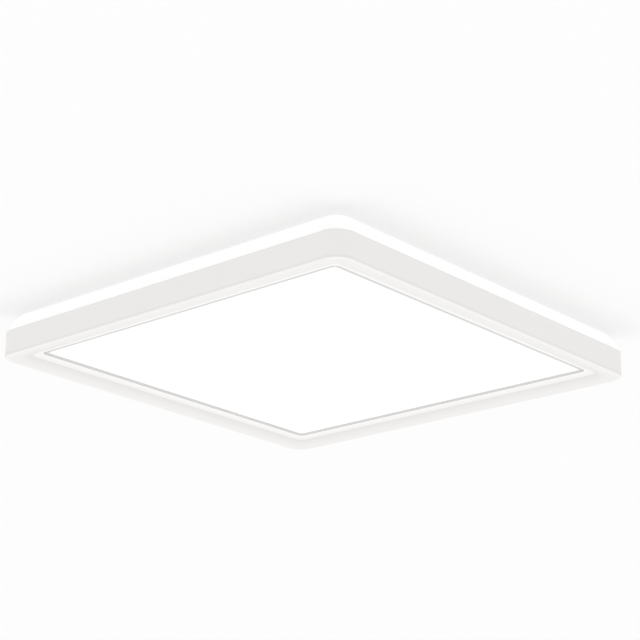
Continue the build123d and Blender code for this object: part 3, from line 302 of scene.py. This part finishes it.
# One finish for each material slot.
finishes = {
    "white_frame": dict(color=(0.836, 0.825, 0.808), color2=(0.856, 0.845, 0.828), roughness=(0.32, 0.4),
                        bump=0.12, bumpScale=1800, bumpDepth=0.04, specular=0.4),
    "front_opal": dict(color=(0.85, 0.85, 0.84), roughness=(0.28, 0.34), bump=0.05, bumpScale=900,
                       subsurface=0.2),
    "ring_opal": dict(color=(0.89, 0.89, 0.885), roughness=(0.3, 0.38), bump=0.05, bumpScale=1200,
                      subsurface=0.2),
    "clear_acrylic": dict(color=(0.95, 0.98, 0.98), roughness=(0.02, 0.06), transmission=1.0, ior=1.49,
                          bump=0.02),
    "white_film": dict(color=(0.9, 0.9, 0.9), color2=(0.86, 0.86, 0.87), roughness=(0.5, 0.6),
                       bumpScale=4000),
    "white_foam": dict(color=(0.88, 0.88, 0.86), color2=(0.8, 0.8, 0.78), roughness=(0.8, 0.95),
                       bump=0.6, bumpScale=1500, bumpDepth=0.3, cloudScale=900),
    "sheet_aluminium": dict(color=(0.80, 0.80, 0.82), color2=(0.70, 0.70, 0.73), roughness=(0.28, 0.42),
                            metallic=1, stretch=(1, 28, 28), cloudScale=60, roughScale=120, bump=0.12,
                            bumpScale=160),
    "board_white": dict(color=(0.86, 0.87, 0.86), color2=(0.8, 0.82, 0.8), roughness=(0.25, 0.35),
                        cells=180, bump=0.1, bumpScale=700, coat=0.3),
    "led_phosphor": dict(color=(0.93, 0.78, 0.22), color2=(0.95, 0.84, 0.35), roughness=(0.25, 0.35),
                         bump=0.08),
    "screw_steel": dict(color=(0.72, 0.73, 0.75), color2=(0.6, 0.61, 0.64), roughness=(0.2, 0.36),
                        metallic=1, cloudScale=700, bump=0.15, bumpScale=2600),
    "white_pan": dict(color=(0.62, 0.62, 0.615), color2=(0.66, 0.66, 0.655), roughness=(0.42, 0.55),
                      bump=0.35, bumpScale=1400, bumpDepth=0.06, cloudScale=30),
    "zinc_steel": dict(color=(0.60, 0.62, 0.65), color2=(0.74, 0.76, 0.78), roughness=(0.3, 0.5),
                       metallic=1, cells=260, roughScale=220, bump=0.08, bumpScale=600),
    "spring_steel": dict(color=(0.46, 0.47, 0.50), color2=(0.58, 0.59, 0.61), roughness=(0.18, 0.32),
                         metallic=1, stretch=(1, 24, 1), cloudScale=90, bump=0.1, bumpScale=240),
    "rivet_steel": dict(color=(0.6, 0.61, 0.63), color2=(0.7, 0.71, 0.73), roughness=(0.25, 0.4),
                        metallic=1, cloudScale=900),
    "grommet_rubber": dict(color=(0.035, 0.035, 0.037), color2=(0.05, 0.05, 0.05), roughness=(0.5, 0.68),
                           bump=0.3, bumpScale=1600, bumpDepth=0.08),
    "box_plastic": dict(color=(0.76, 0.76, 0.745), color2=(0.79, 0.79, 0.78), roughness=(0.4, 0.52),
                        bump=0.3, bumpScale=1900, bumpDepth=0.06),
    "terminal_plastic": dict(color=(0.66, 0.68, 0.69), color2=(0.7, 0.71, 0.72), roughness=(0.35, 0.45),
                             bump=0.2),
    "button_plastic": dict(color=(0.85, 0.30, 0.04), color2=(0.9, 0.35, 0.06), roughness=(0.22, 0.3),
                           coat=0.3),
    "contact_brass": dict(color=(0.78, 0.58, 0.26), color2=(0.7, 0.5, 0.2), roughness=(0.2, 0.35),
                          metallic=1),
    "driver_plastic": dict(color=(0.78, 0.78, 0.77), color2=(0.75, 0.75, 0.74), roughness=(0.4, 0.5),
                           bump=0.3, bumpScale=1700, bumpDepth=0.06),
    "board_green": dict(color=(0.02, 0.14, 0.06), color2=(0.03, 0.2, 0.09), roughness=(0.2, 0.32),
                        cells=140, coat=0.5, bump=0.1, bumpScale=900),
    "ferrite": dict(color=(0.045, 0.045, 0.05), color2=(0.08, 0.08, 0.085), roughness=(0.5, 0.7),
                    bump=0.5, bumpScale=1200, bumpDepth=0.1),
    "winding_tape": dict(color=(0.75, 0.55, 0.08), color2=(0.8, 0.6, 0.12), roughness=(0.2, 0.35),
                         coat=0.4, stretch=(1, 1, 20), bump=0.2, bumpScale=120),
    "capacitor_sleeve": dict(color=(0.02, 0.03, 0.09), color2=(0.03, 0.04, 0.12), roughness=(0.15, 0.25),
                             coat=0.5),
    "component_black": dict(color=(0.03, 0.03, 0.03), color2=(0.05, 0.05, 0.05), roughness=(0.4, 0.55),
                            bump=0.2),
    "wire_brown": dict(color=(0.13, 0.05, 0.02), color2=(0.16, 0.065, 0.028), roughness=(0.35, 0.45),
                       coat=0.15),
    "wire_blue": dict(color=(0.02, 0.09, 0.38), color2=(0.03, 0.11, 0.43), roughness=(0.35, 0.45),
                      coat=0.15),
    "wire_white": dict(color=(0.78, 0.78, 0.76), color2=(0.74, 0.74, 0.72), roughness=(0.35, 0.45),
                       coat=0.15),
}
# The front glows inside the square distance full and is dull outside edge, where its darker colour is
# painted shade of the frame's lip.
frontGlow = dict(color=(1.0, 1.0, 0.99), strength=0.30, edge=125.6, full=121.6, cornerSoftness=4.0,
                 lipPaintedShadeColor=(0.58, 0.58, 0.57))
# The ring glows above low and outside inner.
ringGlow = dict(color=(1.0, 1.0, 0.995), strength=0.13, low=-11.55, high=-10.9, lowShare=0.1, inner=128.0,
                outer=138.0, innerShare=0.02, innerColor=(0.70, 0.70, 0.69))
# Colour of the frame's painted shade, and strength of the painted light on it.
frameShadeAndLightSettings = dict(paintedShadeColor=(0.24, 0.24, 0.235), paintedLightStrength=0.13)

materials = {slot: nodeMaterial(slot + "Finish", look) for slot, look in finishes.items()}
# The front's dim rim is painted shade; the frame's marks are painted shade and painted light.
glowFront(materials["front_opal"], frontGlow)
glowRing(materials["ring_opal"], ringGlow)
frameShadeAndLightPaint(materials["white_frame"], frameShadeAndLightSettings)
for name, node in nodes.items():
    for materialSlot in node.material_slots:
        materialSlot.material = materials[slotOf[name]]
print("materials:", len(materials))

# The moulded frame. The face runs from flatEnd to the crease, the band from the crease to the opening, and
# the hollow trough behind them holds the ribs and the screw bosses.
bezel = dict(half=147.0, cornerRadius=12.0, tightening=0.4, bottom=-29.0, top=-11.5, edgeRadius=1.2,
             flatEnd=2.6, creaseInset=14.2, creaseRise=3.1, lean=0.3, curveSteps=26, openingInset=20.6,
             bandTop=-24.3, ledge=-23.8, troughInset=14.0, troughInner=-24.2, troughOuter=-27.0, wall=2.2,
             rebate=1.1, rebateTop=-13.0, softTop=0.3, softCrease=0.5, softLip=0.08, arcSteps=17,
             ribPitch=24.0, ribEachSide=3, ribInner=13.0, ribThickness=1.2, ribTop=-24.4, ribInWall=0.4,
             ribInFloor=0.3, bossSpread=95.0, bossInset=8.1, bossRadius=3.4, bossHole=1.3, bossTop=-17.1,
             bossEdge=0.3, bossInFloor=0.1, bossSides=24, holeBottom=-26.1)
# Fine lines on the frame: a shallow groove beside the opening with a painted shadow line in it, painted
# shades along the crease, the lower edge and the top edge, and painted light as a share for each inset: the
# light from the front on the band and a painted highlight along the rounded lower edge.
fineLines = dict(paintedShadeMark=(20.0, 20.1, 20.45, 20.5), seamDepth=0.12, creaseShade=0.14, creaseFade=0.5,
                 lowerEdge=(0.1, 0.25), lowerEdgeRise=1.9, lowerEdgeFade=0.3, lowerEdgeShade=0.08,
                 topEdge=0.5, topEdgeFade=0.15, topEdgeWidth=0.4, topEdgeShade=0.07, undersideTop=-23.7,
                 paintedLightInsets=(0.15, 0.45, 1.8, 3.0, 14.2, 14.6, 18.0, 20.6),
                 paintedLightShares=(0, 0.3, 0.3, 0, 0, 0.1, 0.2, 0.8))


def cornerRadius(inset):
    # Corners get tighter inwards: cornerRadius - tightening * inset.
    return bezel["cornerRadius"] - bezel["tightening"] * inset


def bezelSection(s, thin):
    # Closed section of (inset, z): outer wall, rounded edge, flat, the face that rises by
    # creaseRise * u * (u + lean * (1 - u)) over u = 0..1, the band with its shallow groove, lip, trough
    # and rebate.
    u = np.linspace(0, 1, s["curveSteps"])
    faceInset = s["flatEnd"] + (s["creaseInset"] - s["flatEnd"]) * u
    face = np.stack([faceInset, s["bottom"] + s["creaseRise"] * u * (u + s["lean"] * (1 - u))], 1)
    crease = face[-1]
    seamInset = np.array(thin["paintedShadeMark"])
    seamZ = np.interp(seamInset, [crease[0], s["openingInset"]], [crease[1], s["bandTop"]])
    seamZ += thin["seamDepth"] * np.array([0, 1, 1, 0])
    topLine, lowLine = s["top"] - thin["topEdge"], s["bottom"] + thin["lowerEdgeRise"]
    lead = [(0.0, s["top"]), (0.0, topLine), (0.0, topLine - thin["topEdgeFade"]),
            (0.0, lowLine + thin["lowerEdgeFade"]), (0.0, lowLine), (0.0, s["bottom"])]
    tail = [(s["openingInset"], s["bandTop"]), (s["openingInset"], s["ledge"]),
            (s["troughInset"], s["ledge"]), (s["troughInset"], s["troughInner"]),
            (s["wall"], s["troughOuter"]), (s["wall"], s["rebateTop"]),
            (s["rebate"], s["rebateTop"]), (s["rebate"], s["top"])]
    points = np.array(lead + face.tolist() + np.stack([seamInset, seamZ], 1).tolist() + tail)
    cuts = np.full(len(points), fine["hardCut"])
    cuts[0] = cuts[-1] = s["softTop"]
    cuts[len(lead) - 1] = s["edgeRadius"] - fine["cutMargin"]
    cuts[len(lead) - 1 + len(face)] = s["softCrease"]
    cuts[len(points) - len(tail)] = s["softLip"]
    return distinct(roundCorners(points, cuts, fine["cornerSteps"]), True)


def sectionShadeAndLightPaint(s, thin, section):
    # Values along the section. The shade mark, painted shade: 1 on the painted shadow line in the groove,
    # plus the three painted shades, of which the crease's grows with the square of the way across the face.
    # The
    # light mark, painted light: the listed shares by inset, on the underside only.
    inset, z = section[:, 0], section[:, 1]
    underside = z < thin["undersideTop"]
    lowerEdge = np.interp(inset, thin["lowerEdge"], [1, 0]) * (z < s["bottom"] + thin["lowerEdgeRise"])
    creaseInsets = [s["flatEnd"], s["creaseInset"], s["creaseInset"] + thin["creaseFade"]]
    crease = np.interp(inset, creaseInsets, [0, 1, 0]) ** 2
    topLine = s["top"] - thin["topEdge"]
    topEdge = (inset < thin["topEdgeWidth"]) * np.interp(z, [topLine - thin["topEdgeFade"], topLine], [0, 1])
    paintedShadeMark = np.interp(inset, thin["paintedShadeMark"], [0, 1, 1, 0])
    paintedShadeMark = (paintedShadeMark + thin["lowerEdgeShade"] * lowerEdge + thin["creaseShade"] * crease) * underside
    return {"paintedShadeMark": paintedShadeMark + thin["topEdgeShade"] * topEdge,
            "paintedLightMark": np.interp(inset, thin["paintedLightInsets"], thin["paintedLightShares"]) * underside}


def onFourSides(verts):
    # The same points turned by 0, 90, 180 and 270 degrees about z.
    turns = np.array([[[1, 0], [0, 1]], [[0, -1], [1, 0]], [[-1, 0], [0, -1]], [[0, 1], [-1, 0]]], float)
    xy = np.einsum("kij,nj->kni", turns, verts[:, :2])
    return np.concatenate([xy, np.broadcast_to(verts[:, 2], (4, len(verts)))[..., None]], -1).reshape(-1, 3)


def ribs(s):
    # Thin wedges across the trough, ribPitch apart: they stand in the floor, whose height falls in a line
    # from the inner edge to the wall.
    insets = np.array([s["ribInner"], s["wall"] - s["ribInWall"]])
    x = s["half"] - insets
    low = np.interp(insets, [s["wall"], s["troughInset"]], [s["troughOuter"], s["troughInner"]])
    low -= s["ribInFloor"]
    along = s["ribPitch"] * np.arange(-s["ribEachSide"], s["ribEachSide"] + 1)
    half = s["ribThickness"] / 2
    corners = np.array([[x[i], side * half, [low[i], s["ribTop"]][up]] for up in (0, 1) for i in (0, 1)
                        for side in (-1, 1)])
    verts = corners[None] + np.array([0, 1, 0])[None, None] * along[:, None, None]
    quads = np.array([[0, 1, 3, 2], [4, 6, 7, 5], [0, 2, 6, 4], [1, 5, 7, 3], [0, 4, 5, 1], [2, 3, 7, 6]])
    count = 4 * len(along)
    faces = quads[None] + len(corners) * np.arange(count)[:, None, None]
    return onFourSides(verts.reshape(-1, 3)), faces.reshape(-1, 4)


def bosses(s):
    # Screw posts, two on each side: the section (radius, z) turned once about each post's own axis.
    low, top, edge = s["troughOuter"] - s["bossInFloor"], s["bossTop"], s["bossEdge"]
    line = np.array([(0, low), (s["bossRadius"], low), (s["bossRadius"], top - edge),
                     (s["bossRadius"] - edge, top), (s["bossHole"] + edge, top),
                     (s["bossHole"], top - edge), (s["bossHole"], s["holeBottom"]), (0, s["holeBottom"])])
    angle = np.linspace(0, 2 * math.pi, s["bossSides"], endpoint=False)
    post = np.stack([line[:, :1] * np.cos(angle), line[:, :1] * np.sin(angle),
                     np.broadcast_to(line[:, 1:], (len(line), s["bossSides"]))], -1).reshape(-1, 3)
    x = s["half"] - s["bossInset"]
    pair = np.concatenate([post + (x, y, 0) for y in (-s["bossSpread"], s["bossSpread"])])
    count = 4 * 2
    faces = gridFaces(len(line), s["bossSides"], False, True)
    return onFourSides(pair), (faces[None] + len(post) * np.arange(count)[:, None, None]).reshape(-1, 4)


section = bezelSection(bezel, fineLines)
shell = sweptSquare(section, cornerRadius(section[:, 0]), bezel["arcSteps"], bezel["half"])
around = len(shell[0]) // len(section)
verts, faces = merged([shell, ribs(bezel), bosses(bezel)])
# The frame's marks carry painted shade and painted light; the ribs and bosses get none.
unmarked = np.zeros(len(verts) - len(shell[0]))
marks = {name: np.concatenate([np.repeat(values, around), unmarked])
         for name, values in sectionShadeAndLightPaint(bezel, fineLines, section).items()}
bezelFrame = meshObject("bezelFrame", verts, faces, materials["white_frame"], "light",
                        ["bezel_frame"], marks=marks)
print("bezel frame:", len(bezelFrame.data.polygons), "faces")

# The opal sheet; land is the width of the ring of faces along its edge.
front = dict(half=147.0, inset=14.8, bottom=-23.8, top=-21.5, corner=2.0, soft=0.25, land=4.0, arcSteps=9)


def plateSection(s):
    # Open section of (inset, z): middle of the underside, rounded edge, middle of the top.
    line = np.array([(s["half"], s["bottom"]), (s["inset"] + s["land"], s["bottom"]),
                     (s["inset"], s["bottom"]), (s["inset"], s["top"]), (s["half"], s["top"])])
    hard = fine["hardCut"]
    return distinct(roundCorners(line, [hard, hard, s["soft"], s["soft"], hard], fine["plateCornerSteps"]),
                    False)


section = plateSection(front)
verts, faces = sweptSquare(section, np.full(len(section), front["corner"]), front["arcSteps"],
                           front["half"], closed=False)
frontDiffuser = meshObject("frontDiffuser", verts, faces, materials["front_opal"], "light",
                           ["front_diffuser"])
print("front diffuser:", len(frontDiffuser.data.polygons), "faces")

# The room, in metres: the ceiling lies just above the bracket's face.
room = dict(ceilingSize=12.0, ceilingDepth=0.0002, ceilingColor=(0.95, 0.95, 0.95), floorSize=40.0,
            floorDrop=2.4, floorColor=(0.93, 0.93, 0.93), roughness=0.9, specular=0.1,
            worldColor=(1.0, 1.0, 1.0), worldStrength=1.0)


def stagePlane(name, z, size, color, facingDown):
    # One flat square; seen from its back, the ceiling is clear, so that the light's back can be seen.
    s = size / 2
    corners = [(-s, -s, z), (-s, s, z), (s, s, z), (s, -s, z)]
    mesh = bpy.data.meshes.new(name)
    mesh.from_pydata(corners, [], [[0, 1, 2, 3] if facingDown else [3, 2, 1, 0]])
    material = bpy.data.materials.new(name + "Paint")
    material.use_nodes = True
    tree = material.node_tree
    shader = tree.nodes["Principled BSDF"]
    shader.inputs["Base Color"].default_value = (*color, 1)
    shader.inputs["Roughness"].default_value = room["roughness"]
    shader.inputs["Specular IOR Level"].default_value = room["specular"]
    if facingDown:
        side = addNode(tree, "ShaderNodeNewGeometry")
        clear = addNode(tree, "ShaderNodeBsdfTransparent")
        pick = addNode(tree, "ShaderNodeMixShader")
        tree.links.new(side.outputs["Backfacing"], pick.inputs[0])
        tree.links.new(shader.outputs[0], pick.inputs[1])
        tree.links.new(clear.outputs[0], pick.inputs[2])
        tree.links.new(pick.outputs[0], tree.nodes["Material Output"].inputs["Surface"])
    mesh.materials.append(material)
    plane = bpy.data.objects.new(name, mesh)
    bpy.context.scene.collection.objects.link(plane)
    return plane


ceiling = stagePlane("roomCeiling", room["ceilingDepth"], room["ceilingSize"], room["ceilingColor"], True)
floor = stagePlane("roomFloor", -room["floorDrop"], room["floorSize"], room["floorColor"], False)
# The soft lights shine up through the floor and down through the ceiling.
floor.visible_shadow = False
ceiling.visible_shadow = ceiling.visible_diffuse = ceiling.visible_glossy = False

world = bpy.data.worlds.new("studioWorld")
bpy.context.scene.world = world
world.use_nodes = True
sky = world.node_tree.nodes["Background"]
sky.inputs["Color"].default_value = (*room["worldColor"], 1)
sky.inputs["Strength"].default_value = room["worldStrength"]

# Wide, far-off soft lights: the direction that the light travels, its angular width in degrees, and the
# part of a white surface's brightness that it gives when it meets the surface squarely. The washes and the
# fill light only the ceiling: the washes come low across it from the two far sides, so that the lamp's soft
# shade falls towards the near sides. The others light only the lamp.
softLights = {
    "below": dict(travel=(-0.10, -0.10, 1.0), width=30, part=0.13, onCeiling=False),
    "above": dict(travel=(-0.40, -0.25, -1.0), width=25, part=0.20, onCeiling=False),
    "ceilingFill": dict(travel=(0.0, 0.0, 1.0), width=60, part=0.034, onCeiling=True),
}
# Each wash rises by an angle in degrees and gives its part on the ceiling, so its own part is that / sin.
washes = dict(sides={"Right": (-1.0, -0.15), "Left": (-0.15, -1.0)}, width=24,
              levels={"Low": (36, 0.011), "High": (58, 0.036)})
for side, travel in washes["sides"].items():
    for level, (rise, part) in washes["levels"].items():
        angle = math.radians(rise)
        up = math.tan(angle) * math.hypot(*travel)
        softLights["wash" + side + level] = dict(travel=(*travel, up), width=washes["width"],
                                                 part=part / math.sin(angle), onCeiling=True)
onlyCeiling = bpy.data.collections.new("onlyCeiling")
onlyCeiling.objects.link(ceiling)
allButRoom = bpy.data.collections.new("allButRoom")
for plane in (ceiling, floor):
    allButRoom.objects.link(plane)
for item in allButRoom.collection_objects:
    item.light_linking.link_state = "EXCLUDE"
for name, s in softLights.items():
    lamp = bpy.data.lights.new(name, "SUN")
    lamp.angle, lamp.energy = math.radians(s["width"]), s["part"] * math.pi
    lampObject = bpy.data.objects.new(name, lamp)
    bpy.context.scene.collection.objects.link(lampObject)
    lampObject.rotation_euler = Vector(s["travel"]).to_track_quat("-Z", "Y").to_euler()
    lampObject.light_linking.receiver_collection = onlyCeiling if s["onCeiling"] else allButRoom
# The ring's own glow stays off the ceiling, where it would fill the lamp's shade.
nodes["glow_ring"].light_linking.receiver_collection = allButRoom

# The camera at the photograph's angle: its place in metres, its directions, and its focal length in pixels
# of a picture that is imagePixels wide.
viewpoint = dict(place=(-0.87102, -0.77635, -0.40370), forward=(0.705754, 0.626587, 0.330605),
                 right=(0.660409, -0.750791, 0.013153), down=(0.256457, 0.209052, -0.943677),
                 focalPixels=1865.0, imagePixels=640, sensorWidth=36.0, clip=(0.01, 30.0))
camera = bpy.data.cameras.new("photoCamera")
camera.sensor_width = viewpoint["sensorWidth"]
camera.lens = viewpoint["focalPixels"] / viewpoint["imagePixels"] * viewpoint["sensorWidth"]
camera.clip_start, camera.clip_end = viewpoint["clip"]
cameraObject = bpy.data.objects.new("photoCamera", camera)
bpy.context.scene.collection.objects.link(cameraObject)
right, down, forward = (Vector(viewpoint[k]).normalized() for k in ("right", "down", "forward"))
turned = Matrix((right, -down, -forward)).transposed().to_4x4()
cameraObject.matrix_world = Matrix.Translation(Vector(viewpoint["place"])) @ turned
bpy.context.scene.camera = cameraObject
bpy.context.scene.view_settings.view_transform = "Standard"
print("stage, lights and camera set")
